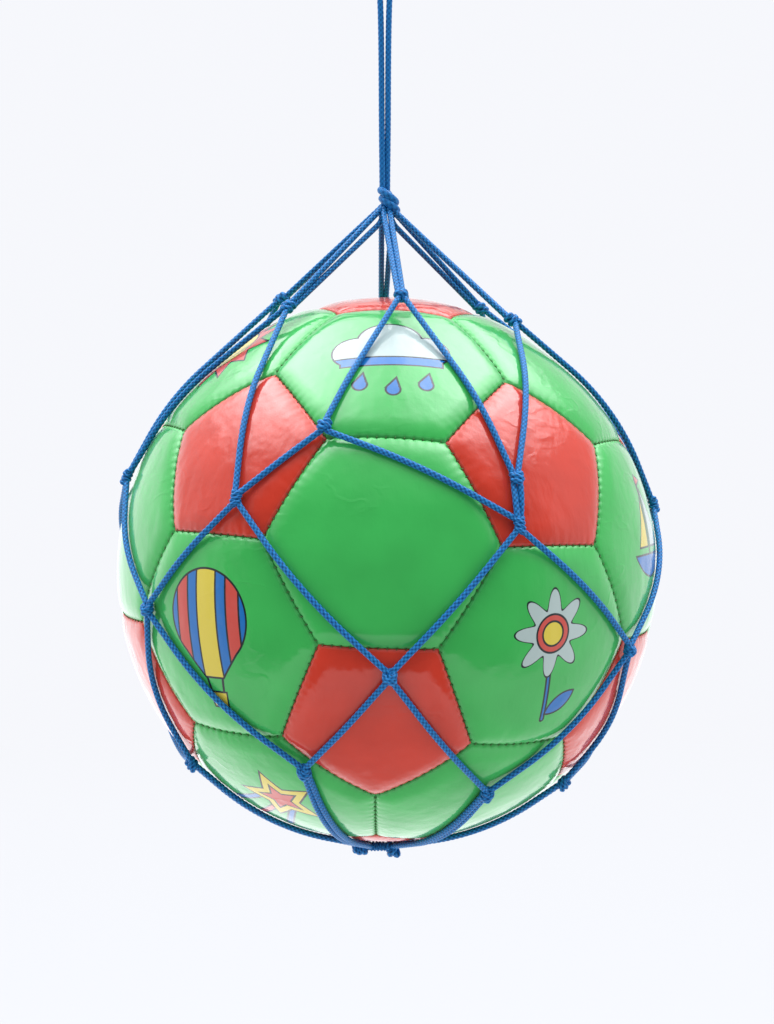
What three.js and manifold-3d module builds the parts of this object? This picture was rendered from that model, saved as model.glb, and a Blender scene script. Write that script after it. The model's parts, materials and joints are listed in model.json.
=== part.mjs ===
// A small stitched ball of 32 panels in a knotted carry net, hung by a cord loop.
// Millimetres and degrees, +Z up, the front towards -Y. The origin is where a peg bears inside the loop's eye.
import * as THREE from 'three';
import { mergeVertices } from 'three/addons/utils/BufferGeometryUtils.js';
import Module from 'manifold-3d';

const wasm = await Module();
wasm.setup();

// Casing
const ballRadius = 75; // to the crown of the panels
const panelThickness = 2.8; // foam-backed sheet in the middle of a panel
const seamThickness = 1.2; // the same sheet pinched at its stitched edge
const roundOver = 8; // how far in from its seams a panel rounds over
const seamGap = 0.3; // between the edges of two panels
const edgeSteps = 3; // facets along one edge of a panel
const ballRoll = 1.9; // how the ball happens to lie in its net, to the right
const ballTurn = -1.4; // and about the vertical

// Bladder and valve
const fitClearance = 0.3; // wherever one piece seats in or against another
const bladderClearance = 0.6; // under the faceted inside of the panels
const bladderWall = 0.9;
const valveHeadRadius = 3.6; // the part seen in its panel
const valveRecess = 0.4; // of that head below the panel's crown
const valveStemRadius = 2.6; // through the bladder
const valveFlangeRadius = 8; // glued under the bladder
const valveFlangeThickness = 1.4;
const valveTailRadius = 2;
const valveTailLength = 9;
const needleRadius = 0.6; // of the hole for a pump's needle
const needleDepth = 7;
const valvePanel = 2; // which hexagon of the top row holds it, counted from the front

// Net cord
const cordDiameter = 1.7;
const cordSides = 5;
const strandGap = 0.2; // between two cords that run side by side
const netClearance = 0.5; // between the crown of the panels and the cords
const stepAngle = 10; // one facet of a cord that lies on the ball
const knotSwell = 0.1; // of a knot beyond its two cords
const knotLength = 4.6;

// Where the knots sit. Azimuth runs from the front towards +X, latitude up from the ball's middle.
const firstKnots = [ // under the top knot, off the ball: azimuth, distance down the leg
  [7, 40.5], [67, 49.5], [124, 43], [182, 42], [260, 40], [307, 44.5],
];
const secondKnots = [ // between a leg and the next: azimuth, latitude
  [26, 13], [92, 14], [153, 16], [221, 16], [281, 20.5], [329, 18],
];
const thirdKnots = [ // under each leg
  [0.5, -15], [58, -13], [130, -15], [182, -13], [236, -14], [306, -4.5],
];
const fourthKnots = [ // between a leg and the next
  [28, -44.5], [64, -46.3], [140, -43], [215, -42], [296.5, -40.4], [340, -37],
];
const slipKnot = [-14, 33]; // an odd knot on the front leg's left strand
const tieKnot = [27, 22]; // where the front leg's right strand meets its neighbour early

// Top knot and bottom gather
const topKnotRise = 27.4; // its middle, above the ball's crown
const topKnotRadius = 2.8;
const topKnotHead = 3.3; // from its middle up to its rounded head
const topKnotHeadRadius = 2;
const topKnotTail = 2.9;
const topKnotTilt = 18; // its two wraps run down to the right
const topStub = 7; // how much of each leg is tied into the top knot
const bottomLeft = -7.4; // the two knots of the gather, across the ball's underside
const bottomRight = 1.6;
const bottomForward = 6; // of the gather in front of the ball's lowest point
const bottomStub = 6;
const whippingWraps = 4;

// Hanging loop
const loopLength = 70; // of each strand, from the eye down to the top knot
const eyeRadius = 3.85; // to the cord's middle, round a peg
const eyeTaper = 9; // where the strands have closed half of the way
const loopSides = 8;
const eyeSteps = 8; // spans of the eye's arch

const green = new THREE.MeshStandardMaterial({ color: 0x37b45f, roughness: 0.3, metalness: 0 });
const red = new THREE.MeshStandardMaterial({ color: 0xd23a3f, roughness: 0.3, metalness: 0 });
const rubber = new THREE.MeshStandardMaterial({ color: 0x2a2a2c, roughness: 0.7, metalness: 0 });
const blue = new THREE.MeshStandardMaterial({ color: 0x1f66bd, roughness: 0.8, metalness: 0 });

// Sizes that follow from those above
const casingInner = ballRadius - panelThickness;
const bladderOuter = casingInner - bladderClearance;
const bladderInner = bladderOuter - bladderWall;
const cordRadius = cordDiameter / 2;
const pairHalf = cordRadius + strandGap / 2;
const netRadius = ballRadius + netClearance + cordRadius;
const knotRadius = cordDiameter + knotSwell;
const knotSeat = ballRadius + netClearance + knotRadius;
const knotReach = Math.max(knotRadius, knotLength / 2) + fitClearance;
const topKnotHeight = ballRadius + topKnotRise;
const eyeInner = eyeRadius - cordRadius;
const ballCentre = -(eyeInner + loopLength + fitClearance + topKnotHead + topKnotHeight);

const vec = (x, y, z) => new THREE.Vector3(x, y, z);
const up = vec(0, 0, 1);
const radians = THREE.MathUtils.degToRad;

function direction([azimuth, latitude]) {
  const flat = Math.cos(radians(latitude));
  return vec(flat * Math.sin(radians(azimuth)), -flat * Math.cos(radians(azimuth)), Math.sin(radians(latitude)));
}

// Solids

// One closed mesh with shared corners and no collapsed triangle
function weld(geometry) {
  const bare = new THREE.BufferGeometry();
  bare.setAttribute('position', geometry.getAttribute('position'));
  bare.setIndex(geometry.index);
  const joined = mergeVertices(bare, 1e-4);
  const kept = [];
  for (let i = 0; i < joined.index.count; i += 3) {
    const [a, b, c] = [0, 1, 2].map((k) => joined.index.getX(i + k));
    if (a !== b && b !== c && c !== a) kept.push(a, b, c);
  }
  joined.setIndex(kept);
  return joined;
}

function toManifold(geometry) {
  const { attributes, index } = weld(geometry);
  return new wasm.Manifold(new wasm.Mesh({
    numProp: 3,
    vertProperties: Float32Array.from(attributes.position.array),
    triVerts: Uint32Array.from(index.array),
  }));
}

function fromManifold(manifold) {
  const { vertProperties, triVerts } = manifold.getMesh();
  const geometry = new THREE.BufferGeometry();
  geometry.setAttribute('position', new THREE.Float32BufferAttribute(vertProperties, 3));
  geometry.setIndex([...triVerts]);
  return geometry;
}

const union = (geometries) => fromManifold(geometries.map(toManifold).reduce((all, next) => all.add(next)));

function mesh(name, geometry, material) {
  const piece = new THREE.Mesh(weld(geometry), material);
  piece.geometry.computeVertexNormals();
  piece.name = name;
  return piece;
}

// A turned solid whose profile of [radius, distance along] runs from one end to the other
function turned(profile, axis, middle, sides) {
  const points = profile.map(([radius, along]) => new THREE.Vector2(radius, along));
  const geometry = new THREE.LatheGeometry(points, sides);
  geometry.applyQuaternion(new THREE.Quaternion().setFromUnitVectors(vec(0, 1, 0), axis));
  return geometry.translate(middle.x, middle.y, middle.z);
}

// Panels: a pentagon round each corner of an icosahedron, a hexagon on each of its faces

const ringLatitude = THREE.MathUtils.radToDeg(Math.atan(0.5));
const fifths = [0, 72, 144, 216, 288];
const upperCentres = fifths.map((azimuth) => direction([azimuth + 36, ringLatitude]));
const lowerCentres = fifths.map((azimuth) => direction([azimuth, -ringLatitude]));
const topCentre = up.clone();
const bottomCentre = up.clone().negate();
const centres = [topCentre, ...upperCentres, ...lowerCentres, bottomCentre];

const cornerNear = (a, b) => a.clone().multiplyScalar(2).add(b).normalize();
const areNeighbours = (a, b) => a !== b && a.angleTo(b) < radians(70);

// Points in order round an axis, anticlockwise from outside
function around(axis, points) {
  const first = points[0].clone().projectOnPlane(axis).normalize();
  const second = axis.clone().cross(first);
  const angle = (p) => Math.atan2(p.dot(second), p.dot(first));
  return [...points].sort((a, b) => angle(a) - angle(b));
}

function pentagon(centre) {
  const neighbours = centres.filter((other) => areNeighbours(centre, other));
  return around(centre, neighbours.map((other) => cornerNear(centre, other)));
}

function hexagon(a, b, c) {
  const corners = [[a, b], [b, a], [b, c], [c, b], [c, a], [a, c]].map(([p, q]) => cornerNear(p, q));
  return around(a.clone().add(b).add(c).normalize(), corners);
}

function panel(corners) {
  const count = corners.length;
  const middle = corners.reduce((sum, corner) => sum.add(corner), vec(0, 0, 0)).normalize();
  const edges = corners.map((corner, i) => corner.clone().cross(corners[(i + 1) % count]).normalize());
  const distanceIn = (u) => ballRadius * Math.asin(Math.min(...edges.map((edge) => edge.dot(u))));
  const inradius = distanceIn(middle);

  // The outline moved in from the seams, as directions from the ball's middle
  const outline = (inset) => {
    const moved = corners.map((corner, i) => {
      const inward = middle.clone().projectOnPlane(corner).normalize();
      const turn = Math.asin(Math.sin(inset / ballRadius) / edges[i].dot(inward));
      return corner.clone().multiplyScalar(Math.cos(turn)).addScaledVector(inward, Math.sin(turn));
    });
    return moved.flatMap((corner, i) => {
      const next = moved[(i + 1) % count];
      const steps = Array.from({ length: edgeSteps }, (_, k) => k / edgeSteps);
      return steps.map((share) => corner.clone().lerp(next, share).normalize());
    });
  };
  const crown = (u) => {
    const rounded = Math.max(0, 1 - distanceIn(u) / roundOver);
    return u.clone().multiplyScalar(ballRadius - (panelThickness - seamThickness) * rounded ** 3);
  };
  const inside = (u) => u.clone().multiplyScalar(casingInner);

  const seamEdge = seamGap / 2;
  const outer = [seamEdge, roundOver / 4, roundOver, (roundOver + inradius) / 2].map((d) => outline(d).map(crown));
  const inner = [inradius / 2, seamEdge].map((d) => outline(d).map(inside));
  const rings = [...inner, ...outer];
  const perRing = count * edgeSteps;
  const points = [inside(middle), ...rings.flat(), crown(middle)];
  const last = points.length - 1;
  const triangles = [];
  for (let i = 0; i < perRing; i += 1) {
    const j = (i + 1) % perRing;
    triangles.push(0, 1 + j, 1 + i);
    for (let r = 0; r + 1 < rings.length; r += 1) {
      const [here, next] = [1 + r * perRing, 1 + (r + 1) * perRing];
      triangles.push(here + i, here + j, next + j, here + i, next + j, next + i);
    }
    triangles.push(last, last - perRing + i, last - perRing + j);
  }
  const geometry = new THREE.BufferGeometry();
  geometry.setAttribute('position', new THREE.Float32BufferAttribute(points.flatMap((p) => p.toArray()), 3));
  geometry.setIndex(triangles);
  return geometry;
}

// Ball

const ball = new THREE.Group();
ball.name = 'ball';
ball.position.z = ballCentre;
ball.rotation.set(0, radians(ballRoll), radians(ballTurn), 'ZYX');

const cyclic = (list, i) => list[i % list.length];
const valveAxis = topCentre.clone()
  .add(cyclic(upperCentres, valvePanel)).add(cyclic(upperCentres, valvePanel + 4)).normalize();

ball.add(mesh('pentagon_top', panel(pentagon(topCentre)), red));
ball.add(mesh('pentagon_bottom', panel(pentagon(bottomCentre)), red));
fifths.forEach((_, i) => {
  const [upper, nextUpper, lastUpper] = [i, i + 1, i + 4].map((k) => cyclic(upperCentres, k));
  const [lower, nextLower] = [i, i + 1].map((k) => cyclic(lowerCentres, k));
  ball.add(mesh(`pentagon_upper_${i + 1}`, panel(pentagon(upper)), red));
  ball.add(mesh(`pentagon_lower_${i + 1}`, panel(pentagon(lower)), red));
  ball.add(mesh(`hexagon_upper_${i + 1}`, panel(hexagon(lastUpper, upper, lower)), green));
  ball.add(mesh(`hexagon_lower_${i + 1}`, panel(hexagon(upper, lower, nextLower)), green));
  ball.add(mesh(`hexagon_bottom_${i + 1}`, panel(hexagon(bottomCentre, lower, nextLower)), green));
  const topPanel = panel(hexagon(topCentre, lastUpper, upper));
  if (i !== valvePanel) {
    ball.add(mesh(`hexagon_top_${i + 1}`, topPanel, green));
    return;
  }
  const bore = new THREE.CylinderGeometry(valveHeadRadius + fitClearance, valveHeadRadius + fitClearance, ballRadius, 16);
  bore.applyQuaternion(new THREE.Quaternion().setFromUnitVectors(vec(0, 1, 0), valveAxis));
  bore.translate(...valveAxis.clone().multiplyScalar(ballRadius).toArray());
  const bored = fromManifold(toManifold(topPanel).subtract(toManifold(bore)));
  ball.add(mesh(`hexagon_top_${i + 1}`, bored, green));
});

// The bladder is turned about the valve's axis, so that its mouth is round
const bladderMouth = valveStemRadius + fitClearance;
function sphereProfile(radius, steps) {
  const mouth = Math.asin(bladderMouth / radius);
  const rim = Math.asin((valveFlangeRadius + fitClearance) / radius);
  const angles = Array.from({ length: steps }, (_, k) => Math.PI - ((Math.PI - rim) * k) / steps);
  const profile = [...angles.slice(1), rim, mouth].map((a) => [radius * Math.sin(a), radius * Math.cos(a)]);
  return [[0, -radius], ...profile];
}
const bladderProfile = [...sphereProfile(bladderOuter, 10), ...sphereProfile(bladderInner, 10).reverse()];
ball.add(mesh('bladder', turned(bladderProfile, valveAxis, vec(0, 0, 0), 18), rubber));

const valveTop = ballRadius - valveRecess;
const flangeTop = Math.sqrt(bladderInner ** 2 - valveFlangeRadius ** 2) - fitClearance;
const flangeBottom = flangeTop - valveFlangeThickness;
const valveProfile = [
  [0, flangeBottom - valveTailLength],
  [valveTailRadius, flangeBottom - valveTailLength],
  [valveTailRadius, flangeBottom],
  [valveFlangeRadius, flangeBottom],
  [valveFlangeRadius, flangeTop],
  [valveStemRadius, flangeTop],
  [valveStemRadius, casingInner],
  [valveHeadRadius, casingInner],
  [valveHeadRadius, valveTop],
  [needleRadius, valveTop],
  [needleRadius, valveTop - needleDepth],
  [0, valveTop - needleDepth],
];
ball.add(mesh('valve', turned(valveProfile, valveAxis, vec(0, 0, 0), 16), rubber));

// Net, round the ball's middle

const net = new THREE.Group();
net.name = 'net';
net.position.z = ballCentre;

function section(sides) {
  const shape = new THREE.Shape();
  const corners = Array.from({ length: sides }, (_, k) => (2 * Math.PI * k) / sides);
  shape.setFromPoints(corners.map((a) => new THREE.Vector2(cordRadius * Math.cos(a), cordRadius * Math.sin(a))));
  return shape;
}

// The shortest way for a cord between two points over the ball: it lies on the ball, and leaves it straight
class OverBall extends THREE.Curve {
  constructor(from, to) {
    super();
    this.start = from.clone().normalize();
    this.axis = from.clone().cross(to).normalize();
    this.turn = from.angleTo(to);
    this.leaves = [from, to].map((p) => Math.acos(Math.min(1, netRadius / p.length())));
  }

  getPoint(t, target = new THREE.Vector3()) {
    const angle = t * this.turn;
    const fromStart = Math.max(0, this.leaves[0] - angle);
    const fromEnd = Math.max(0, this.leaves[1] - (this.turn - angle));
    const radius = netRadius / Math.cos(Math.max(fromStart, fromEnd));
    return target.copy(this.start).applyAxisAngle(this.axis, angle).multiplyScalar(radius);
  }
}

function overBall(from, to) {
  const curve = new OverBall(from, to);
  return curve.leaves[0] + curve.leaves[1] < curve.turn ? curve : new THREE.LineCurve3(from, to);
}

// Part of a curve, with so much left out at either end
class Stretch extends THREE.Curve {
  constructor(curve, startTrim, endTrim) {
    super();
    this.curve = curve;
    this.from = startTrim / curve.getLength();
    this.to = 1 - endTrim / curve.getLength();
  }

  getPoint(t, target = new THREE.Vector3()) {
    return this.curve.getPointAt(this.from + (this.to - this.from) * t, target);
  }
}

function cord(curve, startTrim = 0, endTrim = 0) {
  const extrudePath = new Stretch(curve, startTrim, endTrim);
  const bend = (curve.turn ?? 0) * (extrudePath.to - extrudePath.from);
  const steps = Math.max(1, Math.ceil(bend / radians(stepAngle)));
  return new THREE.ExtrudeGeometry(section(cordSides), { steps, extrudePath, bevelEnabled: false });
}

// Two curves side by side between the same two points, apart in the direction given
function pairOf(makeCurve, from, to, aside) {
  return [pairHalf, -pairHalf].map((offset) => {
    const shifted = [from, to].map((p) => p.clone().addScaledVector(aside, offset));
    return makeCurve(...shifted);
  });
}

// Two wraps round the cords that it ties
function knot(middle, axis) {
  const half = knotLength / 2;
  const profile = [
    [0, -half],
    [knotRadius, -0.5 * half],
    [0.84 * knotRadius, 0],
    [knotRadius, 0.5 * half],
    [0, half],
  ];
  return turned(profile, axis, middle, cordSides);
}

const knotOnBall = (place) => direction(place).multiplyScalar(knotSeat);
const downhill = (p) => up.clone().negate().projectOnPlane(p.clone().normalize()).normalize();
const eastward = (p) => up.clone().cross(p).normalize();
const east = (p) => p.clone().addScaledVector(eastward(p), pairHalf); // the cord on that side of a knot
const west = (p) => p.clone().addScaledVector(eastward(p), -pairHalf);
const topKnot = vec(0, 0, topKnotHeight);
const touchLatitude = 90 - THREE.MathUtils.radToDeg(Math.acos(netRadius / topKnotHeight));

const legs = firstKnots.map(([azimuth, drop]) => {
  const along = direction([azimuth, touchLatitude]).multiplyScalar(netRadius).sub(topKnot).normalize();
  return { along, end: topKnot.clone().addScaledVector(along, drop) };
});
const first = legs.map((leg) => leg.end);
const second = secondKnots.map(knotOnBall);
const third = thirdKnots.map(knotOnBall);
const fourth = fourthKnots.map(knotOnBall);
const slip = knotOnBall(slipKnot);
const tie = knotOnBall(tieKnot);

// The front and back legs run side by side, and the others one cord above the other
const legPairs = legs.map(({ along, end }, i) => {
  const level = up.clone().cross(along).normalize();
  const aside = i % 3 === 0 ? level : along.clone().cross(level);
  return pairOf((a, b) => new THREE.LineCurve3(a, b), topKnot, end, aside);
});

const bottomDepth = -(ballRadius + netClearance + knotRadius);
const bottomKnots = [bottomLeft, bottomRight].map((x) => vec(x, -bottomForward, bottomDepth));
const bottomPairs = fourth.map((from, i) => {
  const to = bottomKnots[i < fourth.length / 2 ? 1 : 0];
  return pairOf(overBall, from, to, from.clone().cross(to).normalize());
});

// Each cord comes down zigzag from the top knot to the gather, and meets its neighbours at their knots
legs.forEach((leg, i) => {
  const before = (i + legs.length - 1) % legs.length;
  const after = (i + 1) % legs.length;
  const pieces = [
    ...legPairs[i].map((curve) => cord(curve, topStub + fitClearance)),
    knot(first[i], leg.along),
    knot(second[i], downhill(second[i])),
    cord(overBall(west(second[i]), east(third[i]))),
    cord(overBall(east(second[i]), west(third[after])), 0, knotReach),
    knot(third[i], downhill(third[i])),
    cord(overBall(east(third[i]), west(fourth[i]))),
    cord(overBall(west(third[i]), east(fourth[before])), 0, knotReach),
    knot(fourth[i], downhill(fourth[i])),
    ...bottomPairs[i].map((curve) => cord(curve, 0, bottomStub + fitClearance)),
  ];
  if (i === 0) {
    pieces.push(
      cord(overBall(west(first[i]), slip)),
      knot(slip, downhill(slip)),
      cord(overBall(west(slip), east(second[before])), 0, knotReach),
      cord(overBall(east(slip), west(second[i]))),
      cord(overBall(east(first[i]), west(tie))),
      knot(tie, downhill(tie)),
      cord(overBall(west(tie), west(second[i]))),
      cord(overBall(east(tie), east(second[i]))),
    );
  } else {
    const leftEnd = i === 1 ? tie : second[before];
    pieces.push(
      cord(overBall(east(first[i]), west(second[i]))),
      cord(overBall(west(first[i]), east(leftEnd)), 0, knotReach),
    );
  }
  net.add(mesh(`net_cord_${i + 1}`, union(pieces), blue));
});

// The top knot's head is round, so that the hanging strands sway on it
const headMiddle = topKnotHead - topKnotHeadRadius;
const topWraps = turned([
  [0, -topKnotTail],
  [0.7 * topKnotRadius, -0.85 * topKnotTail],
  [topKnotRadius, -0.4 * topKnotTail],
  [0.82 * topKnotRadius, 0.05 * topKnotTail],
  [topKnotRadius, 0.45 * topKnotTail],
  [0, 0.9 * topKnotTail],
], vec(Math.sin(radians(topKnotTilt)), 0, Math.cos(radians(topKnotTilt))), topKnot, 10);
const topHead = new THREE.SphereGeometry(topKnotHeadRadius, 10, 6);
topHead.rotateX(Math.PI / 2).translate(0, 0, topKnotHeight + headMiddle);
const topStubs = legPairs.flat().map((curve) => cord(curve, 0, curve.getLength() - topStub));
net.add(mesh('top_knot', union([topWraps, topHead, ...topStubs]), blue));

// The gather lies under the ball: two knots with a whipping of fine wraps between them
const across = vec(1, 0, 0);
const wrapLength = (bottomRight - bottomLeft) / whippingWraps;
const whippingProfile = Array.from({ length: whippingWraps }, (_, k) => [
  [0.7 * knotRadius, bottomLeft + wrapLength * k],
  [0.9 * knotRadius, bottomLeft + wrapLength * (k + 0.5)],
]).flat();
const whipping = turned(
  [[0, bottomLeft], ...whippingProfile, [0.7 * knotRadius, bottomRight], [0, bottomRight]],
  across, vec(0, -bottomForward, bottomDepth), cordSides,
);
const bottomStubs = bottomPairs.flat().map((curve) => cord(curve, curve.getLength() - bottomStub));
net.add(mesh('bottom_gather', union([whipping, ...bottomKnots.map((p) => knot(p, across)), ...bottomStubs]), blue));

// Hanging loop: two strands that close towards the knot, and an eye that swings on a peg

const loop = new THREE.Group();
loop.name = 'loop';

class LoopStrand extends THREE.Curve {
  constructor(side) {
    super();
    this.side = side;
  }

  getPoint(t, target = new THREE.Vector3()) {
    const drop = t * loopLength;
    const open = (eyeRadius - pairHalf) / (1 + (drop / eyeTaper) ** 3);
    return target.set(this.side * (pairHalf + open), 0, -eyeInner - drop);
  }
}

for (const [name, side] of [['hanging_strand_left', -1], ['hanging_strand_right', 1]]) {
  const extrudePath = new LoopStrand(side);
  const strand = new THREE.ExtrudeGeometry(section(loopSides), { steps: 14, extrudePath, bevelEnabled: false });
  const end = new THREE.SphereGeometry(cordRadius, loopSides, 6);
  end.rotateX(Math.PI / 2).translate(side * eyeRadius, 0, -eyeInner);
  loop.add(mesh(name, union([strand, end]), blue));
}

const eyeFrom = Math.asin((cordRadius + fitClearance) / eyeRadius);
const eyeAngles = Array.from({ length: eyeSteps + 1 }, (_, k) => eyeFrom + ((Math.PI - 2 * eyeFrom) * k) / eyeSteps);
const eyePath = new THREE.CatmullRomCurve3(
  eyeAngles.map((a) => vec(eyeRadius * Math.cos(a), 0, eyeRadius * Math.sin(a) - eyeInner)),
);
const eye = new THREE.ExtrudeGeometry(section(loopSides), { steps: 10, extrudePath: eyePath, bevelEnabled: false });
loop.add(mesh('hanging_eye', eye, blue));

const part = new THREE.Group();
part.add(ball, net, loop);
export default part;
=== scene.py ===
# Looks of a small stitched ball in its knotted carry net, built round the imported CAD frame.
# Lengths are millimetres round the ball's middle unless a name or a comment says otherwise.
import json
import math

import bpy
import numpy as np
from mathutils import Euler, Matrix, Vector, noise


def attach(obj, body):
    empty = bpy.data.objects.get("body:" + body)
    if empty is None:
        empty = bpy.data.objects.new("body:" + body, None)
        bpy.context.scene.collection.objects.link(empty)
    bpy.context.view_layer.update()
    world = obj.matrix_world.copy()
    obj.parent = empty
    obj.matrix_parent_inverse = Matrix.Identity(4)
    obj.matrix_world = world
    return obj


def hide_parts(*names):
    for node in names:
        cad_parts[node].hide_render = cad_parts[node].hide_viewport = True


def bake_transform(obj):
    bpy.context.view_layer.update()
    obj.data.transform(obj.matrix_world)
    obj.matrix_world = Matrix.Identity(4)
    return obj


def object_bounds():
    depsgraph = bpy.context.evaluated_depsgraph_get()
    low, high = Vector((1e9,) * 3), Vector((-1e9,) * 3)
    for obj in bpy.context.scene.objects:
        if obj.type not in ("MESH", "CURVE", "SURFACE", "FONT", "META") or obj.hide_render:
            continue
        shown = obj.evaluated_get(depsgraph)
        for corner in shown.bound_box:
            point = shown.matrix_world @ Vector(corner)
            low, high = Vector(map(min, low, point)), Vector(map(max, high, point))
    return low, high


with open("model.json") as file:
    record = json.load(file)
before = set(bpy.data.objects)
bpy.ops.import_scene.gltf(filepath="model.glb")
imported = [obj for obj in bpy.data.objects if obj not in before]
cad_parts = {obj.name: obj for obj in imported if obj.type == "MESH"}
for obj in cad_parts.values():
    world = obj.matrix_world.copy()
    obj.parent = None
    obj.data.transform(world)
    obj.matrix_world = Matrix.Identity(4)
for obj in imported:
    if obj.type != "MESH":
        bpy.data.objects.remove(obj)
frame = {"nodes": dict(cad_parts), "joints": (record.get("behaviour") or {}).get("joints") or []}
cad_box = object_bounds()
scene = bpy.context.scene

# Ball
BALL_RADIUS = 75.0
PANEL_THICKNESS = 2.8
SEAM_GAP = 0.05
PUFF_DEPTH = 0.95  # how far a panel drops towards its seams
PUFF_REACH = 5.5
EDGE_ROLL = 0.38  # radius of a panel's turned edge
CORNER_SOFTNESS = 0.5  # rounds a panel's corners
STITCHES = 13  # on one seam
STITCH_PULL = 0.3  # how far a stitch draws the edge open
STITCH_REACH = 0.9
PUCKER_DEPTH = 0.08  # at each stitch
PUCKER_REACH = 1.6
WRINKLE_DEPTH = 0.07
WRINKLE_SIZE = (3.2, 3.2, 15.0)
DENT_DEPTH = 0.08
DENT_SIZE = (19.0, 19.0, 19.0)
SEED_STEP = 37.0  # from one panel's noise to the next one's
TOP_RISE = 1.1  # how far the ball is drawn up at its top
TOP_RISE_FROM = 0.79  # sine of the latitude where that starts
BALL_ROLL = 1.9  # degrees, as the ball lies in its net
BALL_TURN = -1.4
EDGE_STEPS = 4 * STITCHES  # on one edge of a panel
CROWN_RINGS = 26  # on its outer face
CROWN_CROWDING = 1.5  # towards the edge
INNER_RINGS = (1.0, 0.7, 0.4)  # on its inner face, as shares of the way out
THREAD_RADIUS = 0.12
THREAD_DEPTH = 1.0  # of a stitch's middle below the ball's surface
THREAD_HALF = 0.4
THREAD_SLANT = 0.25  # along its seam
THREAD_SINK = 0.7  # how much deeper its ends lie
THREAD_SIDES = 6
THREAD_STEP = 0.16

# Valve, in a panel at the back
VALVE_PANEL = "hexagon_top_3"
VALVE_HEAD_RADIUS = 3.6
VALVE_CLEARANCE = 0.3
VALVE_RECESS = 0.4  # of its face below the ball's surface
VALVE_EDGE_DEPTH = 0.5  # how far the panel's edge turns down round it
VALVE_EDGE_REACH = 0.6
VALVE_NECK_RADIUS = 2.6
VALVE_FLANGE_RADIUS = 8.0
VALVE_FLANGE = (4.4, 3.0)  # its bottom and top, below the panel's inner face
VALVE_TAIL_RADIUS = 2.0
VALVE_TAIL_LENGTH = 14.0
VALVE_SIDES = 48
NEEDLE_RADIUS = 0.6
NEEDLE_DEPTH = 7.0

# Cords
CORD_DIAMETER = 1.7
CORD_RADIUS = CORD_DIAMETER / 2
PAIR_HALF = 0.94 * CORD_RADIUS  # from a doubled cord's middle to each strand
CORD_LIFT = 0.05  # of a cord's underside above the panels
CORD_STEP = 0.18
CORD_SIDES = 16
BRAID_STRANDS = 4
BRAID_PITCH = 1.4
BRAID_DEPTH = 0.13
BRAID_DIP = 0.55  # share of its height that a bundle loses under another
# the braid's tone sets the cord's painted shade in its pits and painted highlight on its bundles
PIT_SHARE = 0.7  # of the braid's tone that its pits give
STRETCHED = 0.5  # share of the braid's relief left on a cord pulled tight
STRETCHED_TONE = 0.64  # its even tone there, from 0 in the pits to 1
KNOT_RADIUS = 1.6
KNOT_HALF = 1.5  # from a knot's middle to its ends
END_SIZE = 0.02  # least share of a tube's radius at its rounded ends
PAIR_CLOSE = 0.75  # share of the gap between two strands left at their knots
PAIR_OPEN = 0.4  # and how much more there is midway
LINE_POINTS = 60
ARC_POINTS = 240
TURN_POINTS = 60  # on one turn of a winding

# Where the knots sit. Azimuth runs from the front towards +X, latitude up from the ball's middle.
# The first row has an azimuth and a distance down the leg, the others an azimuth and a latitude.
FIRST_KNOTS = [(7, 40.5), (67, 49.5), (124, 43), (182, 42), (260, 40), (307, 44.5)]
SECOND_KNOTS = [(26, 13), (92, 14), (153, 16), (221, 16), (281, 20.5), (329, 18)]
THIRD_KNOTS = [(0.5, -15), (58, -13), (130, -15), (182, -13), (236, -14), (306, -4.5)]
FOURTH_KNOTS = [(28, -44.5), (64, -46.3), (140, -43), (215, -42), (296.5, -40.4), (340, -37)]
# How far aside a strand runs at its widest and at what share of its way, by stretch and cord
TAUT = (0.0, 0.5)
SLACK = {
    ("across", 4): (-1.5, 0.5),
    ("across", 5): (-1.0, 0.5),
    ("inner", 1): (6.0, 0.6),
    ("inner", 4): (-5.5, 0.75),
    ("inner", 5): (0.6, 0.5),
    ("outer", 5): (-3.1, 0.5),
}
SLIP_KNOT = (-14, 33)
TIE_KNOT = (27, 22)
TIE_TWIST = 0.25  # turns of the pair under it
TIE_LIFT = 0.4
TOP_KNOT_RISE = 27.4
TOP_KNOT_TILT = 30.0  # of its wraps, down to the right
TOP_KNOT_LEAN = 8.0  # of the wraps' stack, to the left
TOP_WRAP_RADIUS = 2.15
TOP_WRAP_PITCH = 2.3
TOP_WRAP_THICK = 1.15
TOP_WRAP_RISE = 0.4  # of the wraps' middle above the knot's
TOP_WRAP_ASIDE = 0.5  # and to its right
TOP_WRAP_FROM = -3.0  # radians from the front where the wraps start
TOP_WRAP_PAST = 2.7  # and by which they go past a whole turn
TOP_WRAP_END = 0.2  # share of their radius where their ends lie
TOP_CORE_RADIUS = 1.7  # of the strands inside them
TOP_CORE_SPAN = (-2.0, 3.3)
LEG_STARTS = [  # where the two strands of each leg leave the top knot, from its middle
    [(0.7, -1.0, -2.4), (-1.1, -1.0, -2.4)],
    [(1.2, 0.7, -1.8), (1.2, -0.9, -1.8)],
    [(1.2, 0.5, -2.0), (0.8, 0.8, -5.2)],
    [(-1.5, 1.0, -2.0), (1.5, 1.0, -2.0)],
    [(-1.2, -0.5, -1.2), (-1.2, 0.9, -1.2)],
    [(-1.2, -0.7, -1.6), (-0.8, -0.9, -4.9)],
]
STACKED_LEGS = (2, 5)  # whose strands lie one above the other at their knot
LEG_BEND = 3.0
LEG_INSIDE = 0.2  # share of that distance from the axis where they start
BOTTOM_LEFT = -7.4
BOTTOM_RIGHT = 1.6
BOTTOM_TUCK = 2.5  # how far past the left knot its cords run
BOTTOM_FORWARD = 6.0  # in front of the ball's lowest point
BOTTOM_CORE_RADIUS = 1.2
WHIPPING_TURNS = 5
WHIPPING_RADIUS = 1.05
WHIPPING_THICK = 0.4
WHIPPING_CLEAR = 4.4  # how much shorter it is than the gather
WHIPPING_POINTS = 320

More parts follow.
